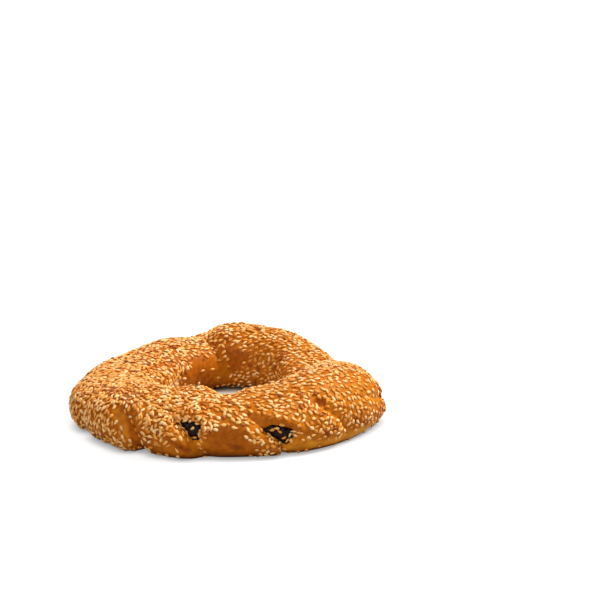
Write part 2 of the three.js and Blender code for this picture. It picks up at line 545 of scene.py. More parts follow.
def ring_shape(radius: float, thickness: float, ring_steps: int, section_steps: int) -> Shape:
    """Spin a circle into a plain round ring.

    Args:
        radius: from the middle of the hole to the middle of the ring's section.
        thickness: the radius of its section.
        ring_steps: faces round the hole.
        section_steps: faces round the section.

    Returns:
        The ring, with its faces pointing out.
    """
    shape = bmesh.new()
    stand = Matrix.Translation((radius, 0, 0)) @ Matrix.Rotation(math.pi / 2, 4, "X")
    bmesh.ops.create_circle(shape, cap_ends=False, radius=thickness, segments=section_steps, matrix=stand)
    bmesh.ops.spin(
        shape,
        geom=shape.verts[:] + shape.edges[:],
        cent=(0, 0, 0),
        axis=(0, 0, 1),
        angle=math.tau,
        steps=ring_steps,
        use_merge=True,
    )
    bmesh.ops.recalc_face_normals(shape, faces=shape.faces[:])
    return shape


def ring_angles(points: Array, radius: float) -> tuple[Array, Array]:
    """Find where points lie on a plain round ring.

    Args:
        points: the points.
        radius: the radius of the middle of the ring.

    Returns:
        Their ring and section angles.
    """
    ring = np.degrees(np.arctan2(points[:, 1], points[:, 0]))
    across = np.hypot(points[:, 0], points[:, 1]) - radius
    return ring, np.mod(np.degrees(np.arctan2(points[:, 2], across)), 360)


def core_tube(rope: Rope, name: str, thickness: float, ring_steps: int, section_steps: int) -> Mesh:
    """Model a round tube along the middle of the chocolate core.

    Args:
        rope: the rope of dough.
        name: the name of the mesh.
        thickness: the radius of the tube.
        ring_steps: faces round the hole.
        section_steps: faces round the tube.

    Returns:
        Its mesh, in millimetres.
    """
    mesh = take_mesh(ring_shape(rope.ring_radius, thickness, ring_steps, section_steps), name)
    ring, section = ring_angles(coordinates(mesh), rope.ring_radius)
    set_coordinates(mesh, rope.core_middle(ring) + outward(ring, section) * thickness)
    return mesh


def boolean(piece: Piece, tools: list[Piece], operation: str) -> None:
    """Cut a piece by tools or join them to it, and remove them.

    Args:
        piece: the piece, which gets a new mesh.
        tools: the closed shapes that cut it or join it.
        operation: DIFFERENCE or UNION.
    """
    for tool in tools:
        modifier = piece.modifiers.new(operation.lower(), "BOOLEAN")
        modifier.operation = operation
        modifier.object = tool
        modifier.solver = "MANIFOLD"
        modifier.material_mode = "TRANSFER"
    depsgraph = bpy.context.evaluated_depsgraph_get()
    made = bpy.data.meshes.new_from_object(piece.evaluated_get(depsgraph))
    piece.modifiers.clear()
    made.name = piece.data.name
    piece.data = made
    for tool in tools:
        bpy.data.objects.remove(tool)


# --- Materials ---

WHITE = (1.0, 1.0, 1.0)


def srgb(red: int, green: int, blue: int) -> Colour:
    """Return the linear colour of one given in 0 to 255 steps."""
    shares = (red / 255, green / 255, blue / 255)
    return tuple(share / 12.92 if share <= 0.04045 else ((share + 0.055) / 1.055) ** 2.4 for share in shares)


class Tree:
    """A node tree, filled by short calls."""

    def __init__(self, tree: NodeTree) -> None:
        """Start on a node tree."""
        self.tree = tree

    def put(self, socket: Socket, value: object) -> None:
        """Set a socket to a value, or link another node's output to it.

        Args:
            socket: the input.
            value: a number, a vector, a colour or an output.
        """
        if isinstance(value, Socket):
            self.tree.links.new(value, socket)
        else:
            socket.default_value = (*value, 1.0) if socket.type == "RGBA" else value

    def add(self, kind: str, sockets: dict | None = None, **settings: object) -> Node:
        """Add a node.

        Args:
            kind: its type, without the leading ShaderNode.
            sockets: what each input is set to or linked from.
            settings: the node's own properties.

        Returns:
            The node.
        """
        node = self.tree.nodes.new(kind if kind.startswith("Node") else "ShaderNode" + kind)
        for name, value in settings.items():
            setattr(node, name, value)
        for name, value in (sockets or {}).items():
            self.put(node.inputs[name], value)
        return node

    def maths(self, operation: str, *values: object, clamp: bool = False) -> Socket:
        """Return the result of a sum on two or three values."""
        return self.add("Math", dict(enumerate(values)), operation=operation, use_clamp=clamp).outputs[0]

    def blend(self, share: object, first: object, second: object) -> Socket:
        """Return a mix of two colours."""
        sockets = {0: share, 6: first, 7: second}
        return self.add("Mix", sockets, data_type="RGBA", clamp_factor=True).outputs[2]

    def range(self, value: object, low: float, high: float, to: tuple[float, float] = (0, 1)) -> Socket:
        """Return a value rescaled from one range to another, with soft ends."""
        sockets = {"Value": value, "From Min": low, "From Max": high, "To Min": to[0], "To Max": to[1]}
        return self.add("MapRange", sockets, interpolation_type="SMOOTHSTEP").outputs[0]

    def attribute(self, name: str) -> Socket:
        """Return a number that the mesh holds."""
        return self.add("Attribute", attribute_name=name).outputs["Fac"]

    def ramp(self, value: object, stops: tuple[tuple[float, Colour], ...]) -> Socket:
        """Colour a value by a ramp.

        Args:
            value: a number or an output.
            stops: values and the colour at each.

        Returns:
            The colour.
        """
        node = self.add("ValToRGB", {"Fac": value})
        elements = node.color_ramp.elements
        while len(elements) < len(stops):
            elements.new(0.5)
        for element, (place, colour) in zip(elements, stops):
            element.position = place
            element.color = (*colour, 1.0)
        return node.outputs["Color"]


class Surface(Tree):
    """A material, by its node tree and its Principled shader."""

    def __init__(self, name: str) -> None:
        """Start a material.

        Args:
            name: the name of the material.
        """
        self.material = bpy.data.materials.new(name)
        self.material.use_nodes = True
        super().__init__(self.material.node_tree)
        self.shader = self.tree.nodes["Principled BSDF"]

    def dress(self, **inputs: object) -> None:
        """Set inputs of the shader, which are named with a _ for each space."""
        for name, value in inputs.items():
            self.put(self.shader.inputs[name.replace("_", " ")], value)

    def relief(self, height: Socket, strength: float, depth: float, invert: bool = False) -> None:
        """Give the surface fine relief, by its height from 0 to 1 and its depth in millimetres."""
        sockets = {"Height": height, "Strength": strength, "Distance": depth * MM}
        self.dress(Normal=self.add("Bump", sockets, invert=invert).outputs[0])


def new_group(name: str, inputs: dict[str, float]) -> tuple[Tree, dict, Socket]:
    """Start a shared node group that puts out one value.

    Args:
        name: the group's name.
        inputs: the name and default of each input.

    Returns:
        Its tree, its inputs by name, and the socket of its value.
    """
    group = bpy.data.node_groups.new(name, "ShaderNodeTree")
    for label, default in inputs.items():
        socket = group.interface.new_socket(label, in_out="INPUT", socket_type="NodeSocketFloat")
        socket.default_value = default
    group.interface.new_socket("Value", in_out="OUTPUT", socket_type="NodeSocketFloat")
    tree = Tree(group)
    return tree, tree.add("NodeGroupInput").outputs, tree.add("NodeGroupOutput").inputs["Value"]


class Groups:
    """The shader groups that more than one finish uses, each made once."""

    wobble: float = 1.2

    def __init__(self) -> None:
        """Make the groups."""
        self.patch_group = self.make_patches()
        self.spot_group = self.make_spots()

    def make_patches(self) -> NodeTree:
        """Make the group of soft patches: how heat, moisture or grease varies over a surface.

        Returns:
            The group.
        """
        tree, given, out = new_group("patches", {"Size mm": 10.0, "Detail": 3.0, "Contrast": 2.0})
        place = tree.add("TexCoord").outputs["Object"]
        scale = tree.maths("DIVIDE", 1 / MM, given["Size mm"])
        texture = tree.add("TexNoise", {"Vector": place, "Scale": scale, "Detail": given["Detail"]})
        centred = tree.maths("SUBTRACT", texture.outputs[0], 0.5)
        spread = tree.maths("MULTIPLY", centred, given["Contrast"])
        tree.put(out, tree.maths("ADD", spread, 0.5, clamp=True))
        return tree.tree

    def make_spots(self) -> NodeTree:
        """Make the group of small uneven spots: pores, blisters and scorched specks.

        Returns:
            The group.
        """
        tree, given, out = new_group("spots", {"Size mm": 3.0, "Share": 0.2, "Radius": 0.3})
        place = tree.add("TexCoord").outputs["Object"]
        scale = tree.maths("DIVIDE", 1 / MM, given["Size mm"])
        finer = tree.maths("MULTIPLY", scale, 2.0)
        waves = tree.add("TexNoise", {"Vector": place, "Scale": finer, "Detail": 2.0}).outputs[1]
        centred = tree.add("VectorMath", {0: waves, 1: (0.5,) * 3}, operation="SUBTRACT").outputs[0]
        most = (self.wobble * MM,) * 3
        push = tree.add("VectorMath", {0: centred, 1: most}, operation="MULTIPLY").outputs[0]
        bent = tree.add("VectorMath", {0: place, 1: push}, operation="ADD").outputs[0]
        cells = tree.add("TexVoronoi", {"Vector": bent, "Scale": scale})
        chance = tree.add("SeparateColor", {0: cells.outputs["Color"]})
        chosen = tree.maths("LESS_THAN", chance.outputs[0], given["Share"])
        reach = tree.maths("MULTIPLY", given["Radius"], tree.maths("ADD", chance.outputs[1], 0.4))
        spot = tree.add("MapRange", {"Value": cells.outputs["Distance"], "From Min": reach, "From Max": 0.0})
        tree.put(out, tree.maths("MULTIPLY", spot.outputs[0], chosen))
        return tree.tree

    def patches(self, tree: Tree, size: float, contrast: float, detail: float = 3.0) -> Socket:
        """Place soft patches in a material, by their size in millimetres."""
        sockets = {"Size mm": size, "Detail": detail, "Contrast": contrast}
        return tree.add("Group", sockets, node_tree=self.patch_group).outputs[0]

    def spots(self, tree: Tree, size: float, share: float, radius: float) -> Socket:
        """Place spots in a material, by their pitch in millimetres, the share of them and their radius."""
        sockets = {"Size mm": size, "Share": share, "Radius": radius}
        return tree.add("Group", sockets, node_tree=self.spot_group).outputs[0]


@dataclass(frozen=True)
class CrustFinish:
    """Baked crust: paler in the folds, deeper where it's bare, with scorched specks, small blisters, painted
    shade from the mesh and pale mottles that are partly painted sheen.
    """

    pale: Colour = srgb(226, 156, 38)
    golden: Colour = srgb(202, 124, 25)
    amber: Colour = srgb(172, 93, 12)
    brown: Colour = srgb(122, 54, 10)
    scorched: Colour = srgb(66, 28, 10)
    dust_and_sheen: Colour = srgb(224, 156, 70)
    roughness: float = 0.5
    specular: float = 0.11
    unevenness: float = 0.34
    wear: float = 0.22

    def make(self, groups: Groups) -> Material:
        """Make the material.

        Args:
            groups: the shared shader groups.

        Returns:
            The material, which reads how baked the crust is from the mesh.
        """
        crust = Surface("crust")
        wide = groups.patches(crust, 16.0, 1.6)
        fine = groups.patches(crust, 2.6, 1.6, detail=4.0)
        drift = crust.maths("MULTIPLY_ADD", wide, self.unevenness, -self.unevenness / 2)
        # The mesh's value is how baked the crust is plus painted shade: darker crust where the seeds lie
        # close and along one crease.
        bake = crust.maths("ADD", crust.attribute("bake"), drift)
        grain = crust.maths("MULTIPLY", crust.maths("SUBTRACT", fine, 0.5), self.unevenness)
        stops = ((0.0, self.pale), (0.35, self.golden), (0.62, self.amber), (1.0, self.brown))
        colour = crust.ramp(crust.maths("ADD", bake, grain), stops)
        # Pale dusty mottles, which also stand for the crust's soft sheen: painted sheen.
        dust_and_sheen_share = crust.maths("MULTIPLY", groups.patches(crust, 1.7, 3.0, detail=4.0), 0.1)
        colour = crust.blend(dust_and_sheen_share, colour, self.dust_and_sheen)
        dots = crust.maths("MULTIPLY", groups.spots(crust, 2.4, 0.12, 0.3), 0.5)
        marks = crust.maths("MAXIMUM", groups.spots(crust, 7.0, 0.22, 0.17), dots)
        colour = crust.blend(crust.maths("MULTIPLY", marks, 0.75), colour, self.scorched)
        rough = crust.maths("MULTIPLY_ADD", fine, self.wear, self.roughness - self.wear / 2)
        crust.dress(Base_Color=colour, Roughness=rough, Specular_IOR_Level=self.specular)
        wrinkles = crust.maths("MULTIPLY", groups.patches(crust, 1.3, 1.4, detail=4.0), 0.7)
        blisters = crust.maths("MULTIPLY", groups.spots(crust, 3.0, 0.4, 0.3), 0.6)
        crust.relief(crust.maths("ADD", wrinkles, blisters), 0.5, 0.25)
        return crust.material


@dataclass(frozen=True)
class CrumbFinish:
    """The soft inside of the dough, seen only where a split cuts it, and stained by the filling."""

    pale: Colour = srgb(214, 178, 124)
    stained: Colour = srgb(96, 54, 28)

    def make(self, groups: Groups) -> Material:
        """Make the material.

        Args:
            groups: the shared shader groups.

        Returns:
            The material.
        """
        crumb = Surface("crumb")
        stain = groups.patches(crumb, 4.0, 3.0)
        crumb.dress(Base_Color=crumb.blend(stain, self.pale, self.stained), Roughness=0.8)
        crumb.relief(groups.spots(crumb, 1.4, 0.8, 0.5), 0.6, 0.3, invert=True)
        return crumb.material


@dataclass(frozen=True)
class ChocolateFinish:
    """Baked chocolate cream: nearly black, with a dull skin over glossy lumps."""

    dark: Colour = srgb(15, 8, 5)
    light: Colour = srgb(52, 28, 15)

    def make(self, groups: Groups) -> Material:
        """Make the material.

        Args:
            groups: the shared shader groups.

        Returns:
            The material.
        """
        chocolate = Surface("chocolate")
        skin = groups.patches(chocolate, 2.2, 2.4)
        colour = chocolate.blend(skin, self.dark, self.light)
        rough = chocolate.range(skin, 0.2, 0.8, (0.3, 0.6))
        chocolate.dress(Base_Color=colour, Roughness=rough, Specular_IOR_Level=0.3)
        chocolate.relief(groups.patches(chocolate, 0.7, 2.0), 0.4, 0.2)
        return chocolate.material


@dataclass(frozen=True)
class SeedFinish:
    """The skin of a sesame seed, toasted further at its point and in small patches."""

    name: str
    light: Colour
    deep: Colour
    tip: Colour
    roughness: float = 0.36

    def make(self, groups: Groups) -> Material:
        """Make the material.

        Args:
            groups: the shared shader groups.

        Returns:
            The material.
        """
        seed = Surface(self.name)
        body = seed.blend(seed.attribute("tint"), self.light, self.deep)
        skin = groups.patches(seed, 0.9, 1.6)
        worn = seed.blend(seed.maths("MULTIPLY", skin, 0.35), body, self.tip)
        point = seed.maths("MULTIPLY", seed.attribute("point"), 0.65)
        colour = seed.blend(point, worn, self.tip)
        seed.dress(Base_Color=colour, Roughness=self.roughness, Specular_IOR_Level=0.3)
        seed.relief(skin, 0.25, 0.15)
        return seed.material


# --- The dough ---


@dataclass(frozen=True)
class Patch:
    """A patch of crust, by corners in angles and how far it spreads past them.

    It says how clear of seeds the crust is there, and how much darker its crust is: further baking for most
    patches, and painted shade for the line along one crease.
    """

    outline: tuple[Angles, ...]
    clear: float = 0.93
    bake: float = 0.0
    edge: float = 1.6
    spread: float = 0.0
    mm_per_degree: float = 0.3

    def share(self, ring: Array, section: Array) -> Array:
        """Find how far inside the patch places are.

        Args:
            ring: their ring angles.
            section: their section angles.

        Returns:
            A share for each, from 0 outside it to 1 inside.
        """
        corners = np.array(self.outline)
        middle = corners.mean(axis=0)
        radius = 60 + 18 * math.cos(math.radians(middle[1]))
        scale = math.radians(radius), self.mm_per_degree
        outline = (corners - middle) * scale
        x = turn_between(middle[0], ring) * scale[0]
        y = turn_between(middle[1], section) * scale[1]
        return smooth_step(self.spread - signed_distance(x, y, outline), -self.edge, self.edge)


def oval(ring: float, section: float, half_ring: float, half_section: float) -> tuple[Angles, ...]:
    """Draw an oval patch that leans with the twist.

    Args:
        ring: the ring angle of its middle.
        section: the section angle of its middle.
        half_ring: half its size round the hole, as an angle.
        half_section: half its size round the rope, as an angle.

    Returns:
        Its outline.
    """
    outline = []
    for step in range(12):
        turn = math.radians(30 * step)
        up = half_section * math.sin(turn)
        outline.append((ring + half_ring * math.cos(turn) - 0.2 * up, section + up))
    return tuple(outline)


# Bare patches with corners, from the left of the front round to the right, and then in the hole.
BARE_SHAPES = (
    Patch(((-138, 31), (-135, 38), (-130, 20), (-126, -20), (-126, -39), (-129, -24), (-133, 0)), bake=-0.2),
    Patch(((-130, 33), (-126, 10), (-122, -24)), 0.8, 0.12, edge=1.2, spread=2.8),
    # A thin dark line down the deep crease on the right of that flank: painted shade in the crease.
    Patch(((-131, 23), (-127.5, -7), (-125.5, -35), (-126, -63)), bake=0.4, edge=0.8, spread=0.7),
    Patch(
        ((-122, -26), (-114, -19), (-110, -6), (-105, -16), (-104, -45), (-113, -55), (-122, -52)), 0.62, 0.03
    ),
    Patch(((-107, 3), (-103, -12), (-103, -60), (-108, -60), (-108, -28)), bake=0.02, edge=1.0),
    Patch(
        (
            *((-102, -10), (-99, 9), (-96, 19), (-91, 22), (-88, 16)),
            *((-86, 4), (-82, -40), (-87, -60), (-102, -60)),
        ),
        0.98,
        0.14,
    ),
    Patch(
        (
            *((-87, 49), (-84, 50), (-80, 36), (-69, 17), (-66, 3), (-61, -3)),
            *((-61, -21), (-67, -4), (-73, 12), (-79, 7), (-84, 28)),
        ),
        bake=0.16,
        edge=1.2,
    ),
    Patch(((-71, -26), (-66, -14), (-61, -20), (-58, -32), (-64, -52), (-70, -58)), bake=-0.16),
    Patch(((-58, 43), (-50, 4), (-45, -20)), 0.8, 0.06, spread=2.3),
    Patch(
        ((-62, -27), (-50, -32), (-38, -28), (-24, -30), (-10, -25), (-10, -75), (-62, -75)), 0.85, -0.34
    ),
    Patch(
        ((119, 147), (105, 149), (100, 141), (93, 177), (90, 219), (111, 232), (131, 205), (130, 177)),
        bake=0.03,
    ),
    Patch(((97, 142), (91, 142), (80, 161), (84, 180), (92, 196)), bake=0.16),
)

# Oval ones: the middle and half sizes in angles, how clear of seeds, and how much further baked.
BARE_OVALS = (
    (-111.5, -11, 2, 11, 0.8, 0.3),
    (-107.7, -22, 1.4, 6, 0.5, 0.34),
    (-89.3, -20, 1.8, 6, 0.5, 0.34),
    (-30, 30, 13, 40, 0.25, 0.0),
    (-12, 18, 16, 40, 0.4, 0.0),
    (-5, 85, 24, 35, 0.0, 0.1),
    (22, -6, 5, 26, 0.85, 0.1),
    (76, -2, 7, 30, 0.9, 0.12),
    (160, -8, 4, 24, 0.8, 0.05),
    (-10, 182, 12, 30, 0.85, 0.08),
    (-120, 195, 14, 28, 0.8, 0.08),
)

# Brown marks, given in the same way.
BROWN_OVALS = (
    (-176, 44, 3, 9, 0.2, 0.5),
    (-55.5, 38, 2.2, 7, 0.5, 0.45),
    (-55.5, -17, 1.6, 7, 0.5, 0.45),
    (-51.5, -9, 1.4, 6, 0.3, 0.4),
    (-39, -13, 1.8, 6, 0.3, 0.4),
)

BARE_PATCHES = [
    *BARE_SHAPES,
    *(Patch(oval(*sizes), clear, bake) for *sizes, clear, bake in BARE_OVALS),
    *(Patch(oval(*sizes), clear, bake, edge=1.0) for *sizes, clear, bake in BROWN_OVALS),
]


@dataclass
class SplitPlace:
    """A split with its own frame, from its middle on the crust: x along it, y across it and z out."""

    split: Split
    rope: Rope
    reach_in: float = 12.0
    reach_round: float = 25.0
    far: float = 99.0
    subdivisions: int = 6

    def __post_init__(self) -> None:
        """Find where the split is and which way it faces."""
        ring, section = (np.array([angle]) for angle in self.split.at)
        self.origin = self.rope.crust(ring, section)[0][0]
        self.middle = self.rope.core_middle(ring)[0]
        self.depth = float(np.linalg.norm(self.origin - self.middle))
        self.out = (self.origin - self.middle) / self.depth
        self.across = unit(np.cross(self.out, polar(ring + 90, 1, 0)[0]))
        self.along = np.cross(self.across, self.out)

    def local(self, points: Array) -> Array:
        """Return points in the split's frame."""
        return (points - self.origin) @ np.stack([self.along, self.across, self.out], axis=1)

    def world(self, points: Array) -> Array:
        """Return points of the split's frame in the rope's."""
        return self.origin + points @ np.stack([self.along, self.across, self.out])

    def distance(self, points: Array) -> Array:
        """Find how far points of the crust are from the split's edge.

        Args:
            points: the points.

        Returns:
            The distances, which are below 0 inside the split.
        """
        x, y, z = self.local(points).T
        distance = np.full(len(points), self.far)
        near = (np.abs(z) < self.reach_in) & (np.hypot(x, y) < self.reach_round)
        distance[near] = signed_distance(x[near], y[near], np.array(self.split.outline))
        return distance

    def ball(self) -> tuple[Mesh, Array, Array]:
        """Start a ball to shape by the split's outline.

        Returns:
            Its mesh, its vertices, and how far the outline is in the direction of each.
        """
        shape = bmesh.new()
        bmesh.ops.create_icosphere(shape, subdivisions=self.subdivisions, radius=1)
        mesh = take_mesh(shape, "ball")
        points = coordinates(mesh)
        return mesh, points, self.split.reach(np.arctan2(points[:, 1], points[:, 0]))


@dataclass
class Dough:
    """The ring of bread: its crust, the tunnel for the filling, and the splits that open into it."""

    rope: Rope
    places: list[SplitPlace]
    ring_steps: int = 620
    section_steps: int = 124
    fine_reach: float = 9.0
    lip_reach: float = 3.4
    lip_drop: float = 2.3
    rim_rise: float = 0.5
    tunnel_clearance: float = 0.36
    tunnel_steps: tuple[int, int] = (180, 20)
    cut_depth: float = 9.0
    cut_sink: float = 3.0
    blister_count: int = 70
    wave: float = 0.55
    ripple: float = 0.16
    plain_bake: float = 0.45
    top_bake_and_shade: float = 0.07
    left_painted_shade: float = 0.16
    base_bake: float = 0.2
    rim_bake: float = 0.45
    crease_pallor: float = 0.2

    def make_crust(self) -> Mesh:
        """Model the crust as a closed ring, with finer faces round the splits.

        Returns:
            Its mesh in millimetres, which holds each vertex's angles and how baked it is.
        """
        rope = self.rope
        shape = ring_shape(rope.ring_radius, rope.half_width, self.ring_steps, self.section_steps)
        self.refine(shape)
        mesh = take_mesh(shape, "dough_crust")
        ring, section = ring_angles(coordinates(mesh), rope.ring_radius)
        points, nearness = rope.crust(ring, section)
        points = self.add_relief(points, ring, section)
        set_coordinates(mesh, points)
        set_attribute(mesh, "ring_angle", ring)
        set_attribute(mesh, "section_angle", section)
        set_attribute(mesh, "bake", self.bake(points, ring, section, nearness))
        return mesh

    def refine(self, shape: Shape) -> None:
        """Halve the faces round each split.

        Args:
            shape: the plain ring, before it is bent to the rope.
        """
        plain = np.array([vertex.co for vertex in shape.verts])
        ring, section = ring_angles(plain, self.rope.ring_radius)
        smooth = self.rope.smooth(ring, section)
        near = np.zeros(len(plain), bool)
        for place in self.places:
            near |= place.distance(smooth) < self.fine_reach
        shape.verts.index_update()
        edges = [edge for edge in shape.edges if near[edge.verts[0].index] and near[edge.verts[1].index]]
        bmesh.ops.subdivide_edges(shape, edges=edges, cuts=1, use_grid_fill=True)

    def add_relief(self, points: Array, ring: Array, section: Array) -> Array:
        """Add what is finer than the solid: an uneven skin, blisters, and the rolled lips of the splits.

        Args:
            points: the points of the crust.
            ring: their ring angles.
            section: their section angles.

        Returns:
            The points with the relief.
        """
        normals = outward(ring, section)
        above = smooth_step(points[:, 2], 0.2, 4)
        rise = self.wave * cloud(points, 17, 3) + self.ripple * cloud(points, 4.5, 3, shift=7)
        chance = np.random.default_rng(SEED)
        for index in chance.integers(0, len(points), self.blister_count):
            reach, height = chance.uniform(0.9, 2.2), chance.uniform(0.15, 0.45)
            rise += height * bell(np.linalg.norm(points - points[index], axis=1), reach)
        for place in self.places:
            distance = place.distance(points)
            rolled = np.clip(1 - distance / self.lip_reach, 0, 1.2)
            rise += self.rim_rise * bell(distance - self.lip_reach, 2.2) - self.lip_drop * rolled**2
        points = points + normals * (rise * above)[:, None]
        points[:, 2] = np.maximum(points[:, 2], 0)
        return points

    def bake(self, points: Array, ring: Array, section: Array, nearness: Array) -> Array:
        """Say how baked the crust is, with painted shade added on the top and the left, where the seeds lie
        close, and along one crease.

        Args:
            points: the points of the crust.
            ring: their ring angles.
            section: their section angles.
            nearness: how near a crease each is, from 0 to 1.

        Returns:
            A value for each point: 0 is pale, 0.5 golden to amber, and 1 brown.
        """
        top = np.maximum(np.sin(np.radians(section)), 0)
        # The top is darker: it bakes browner, and the darker crust also paints the shade between the close
        # seeds there.
        value = self.plain_bake + self.top_bake_and_shade * top - self.crease_pallor * nearness**2
        for patch in BARE_PATCHES:
            value += patch.bake * patch.share(ring, section)
        # Painted shade: the crust round the left of the ring is darker, for the shade between the seeds lying
        # close there.
        value += self.left_painted_shade * bell(turn_between(172, ring), 70)
        base = 1 - smooth_step(points[:, 2], 0.1, 2.5)
        rim = 1 - smooth_step(points[:, 2], 0.4, 1.9)
        return value + self.base_bake * base + self.rim_bake * rim

    def cut(self, piece: Piece, crumb: Material) -> None:
        """Cut the tunnel and the splits.

        Args:
            piece: the crust.
            crumb: the finish of what the cuts lay bare.
        """
        thickness = self.rope.core_radius + self.tunnel_clearance
        tools = [add_object("tunnel", core_tube(self.rope, "tunnel", thickness, *self.tunnel_steps))]
        tools += [self.split_tool(place) for place in self.places]
        for tool in tools:
            tool.data.materials.append(crumb)
        boolean(piece, tools, "DIFFERENCE")

    def split_tool(self, place: SplitPlace) -> Piece:
        """Model what a split cuts away: a ball drawn out to a lens, with an uneven edge.

        Args:
            place: the split.

        Returns:
            The lens.
        """
        mesh, points, reach = place.ball()
        edge = reach * (1.06 + 0.05 * cloud(points, 0.5, 2, shift=3))
        bent = points * np.stack([edge, edge, np.full(len(points), self.cut_depth)], axis=1)
        set_coordinates(mesh, place.world(bent - np.array([0, 0, self.cut_sink])))
        return add_object("split", mesh)


# --- The filling ---


@dataclass
class Filling:
    """The chocolate core, which has pushed up into the splits and set there in lumps."""

    rope: Rope
    places: list[SplitPlace]
    lump: float = 0.9
    margin: float = 1.6
    flatness: float = 0.3
    overlap: float = 0.5
    core_steps: tuple[int, int] = (220, 24)
    name: str = "chocolate_filling"

    def make(self) -> Piece:
        """Model the core and its lumps as one closed piece.

        Returns:
            The piece, in millimetres.
        """
        mesh = core_tube(self.rope, self.name, self.rope.core_radius, *self.core_steps)
        piece = add_object(self.name, mesh)
        boolean(piece, [self.lump_in(place) for place in self.places], "UNION")
        return piece

    def half_depth(self, place: SplitPlace) -> float:
        """Return half the way from the middle of the core to the top of the lump in a split."""
        return (place.depth - place.split.recess) / 2

    def lump_in(self, place: SplitPlace) -> Piece:
        """Model the lump that fills a split.

        Args:
            place: the split.

        Returns:
            The lump, which reaches into the core.
        """
        mesh, points, reach = place.ball()
        half = self.half_depth(place)
        edge = reach + self.margin
        size = np.stack([edge, edge, np.full(len(points), half + self.overlap)], axis=1)
        level = np.sign(points[:, 2]) * np.abs(points[:, 2]) ** (2 * self.flatness)
        bent = np.column_stack([points[:, :2], level]) * size - np.array([0, 0, place.split.recess + half])
        rise = self.lump * cloud(bent, 3.4, 2, shift=11) + 0.22 * cloud(bent, 1.3, 2, shift=5)
        set_coordinates(mesh, place.world(bent + points * rise[:, None]))
        return add_object("lump", mesh)

    def surface_at(self, place: SplitPlace, x: float, y: float) -> float:
        """Find the height of the lump's top, without its roughness.

        Args:
            place: the split.
            x: how far along the split.
            y: how far across it.

        Returns:
            The height in the split's frame.
        """
        half = self.half_depth(place)
        reach = float(place.split.reach(np.array(math.atan2(y, x)))) + self.margin
        level = max(1 - (x**2 + y**2) / reach**2, 0.0) ** self.flatness
        return level * (half + self.overlap) - (place.split.recess + half)


# --- The sesame ---


class Toast(Enum):
    """The kinds of seed, by how far they are toasted, and the share of each."""

    PALE = 0.52
    GOLDEN = 0.44
    BROWN = 0.04


SEED_COLOURS = {
    Toast.PALE: (srgb(255, 222, 166), srgb(252, 196, 116), srgb(200, 122, 48)),
    Toast.GOLDEN: (srgb(250, 190, 100), srgb(226, 148, 60), srgb(168, 90, 28)),
    Toast.BROWN: (srgb(206, 124, 52), srgb(168, 90, 34), srgb(114, 54, 20)),
}


@dataclass(frozen=True)
class Heap:
    """A place where seeds lie thick and every way."""

    at: Angles
    reach: float
    extra: float


HEAPS = (
    Heap((-121, 44), 9, 0.12),
    Heap((-108, 52), 10, 0.11),
    Heap((-118, 4), 5, 0.14),
    Heap((-113, 27), 5, 0.14),
    Heap((-105, 27), 4, 0.2),
    Heap((-100.5, 14), 3.5, 0.22),
    Heap((-62, 34), 6, 0.07),
    Heap((-50, 14), 5, 0.08),
    Heap((-78, -22), 5, 0.05),
    Heap((-46, -12), 5, 0.08),
    Heap((112, 95), 6, 0.06),
    Heap((-132, -30), 6, 0.06),
)


# How the seeds lie at a ring and a section angle: how far they turn from along the rope to down its outside.
LIE = (
    *((-170, 40, 85), (-150, 30, 105), (-143, 8, 95), (-130, 15, 62), (-133, 80, 15), (-118, 90, 22)),
    *((-113, 60, -12), (-121, 45, -55), (-108, 20, 20), (-92, 75, 8), (-82, 68, 38), (-70, 85, 22)),
    *((-97, 45, 8), (-88, 42, 28), (-80, 42, 50), (-88, 18, 50), (-76, 14, 18), (-72, 36, 15)),
    *((-60, 45, 45), (-52, 65, 55), (-50, 85, 26), (-40, 68, 22), (-34, 60, 58), (-50, 20, 42)),
    *((-28, 35, 50), (-30, 5, 40), (-60, -5, 36), (-110, -10, 38), (-10, 30, 45), (20, 30, 50)),
    *((55, 20, 55), (90, 20, 60), (125, 20, 60), (160, 20, 75), (180, 92, 80), (165, 115, 62)),
    *((145, 130, 60), (125, 155, 54), (142, 92, 28), (120, 96, -6), (97, 125, -10), (70, 128, -2)),
    *((50, 120, -14), (80, 165, -42), (55, 165, -40), (36, 120, -54), (25, 100, -56), (0, 160, -45)),
    *((-60, 165, 40), (-120, 165, 40), (178, 170, 55)),
)

# The seeds on the filling of each split: along and across the split, and how far each turns.
FILLING_SEEDS = (
    ((0.7, 0.6, 40), (4.6, -0.4, 80), (3.9, -2.6, 100), (1.6, -3.9, 5)),
    (
        *((-4.9, 2.2, 10), (-2.6, 2.9, -15), (-1.2, 1.3, -30), (4.3, -1.4, 75)),
        *((6.6, -1.2, 20), (3.0, -4.3, 30), (0.9, -2.3, 0)),
    ),
)


@dataclass
class Rows:
    """Arrays that hold a row for each of some things."""

    def take(self, chosen: Array) -> Rows:
        """Return some of the things."""
        return type(self)(*(values[chosen] for values in vars(self).values()))

    def join(self, other: Rows) -> Rows:
        """Return these things with others behind them."""
        pairs = zip(vars(self).values(), vars(other).values())
        return type(self)(*(np.concatenate(pair) for pair in pairs))


@dataclass
class Spots(Rows):
    """Places on the crust."""

    points: Array
    normals: Array
    ring: Array
    section: Array


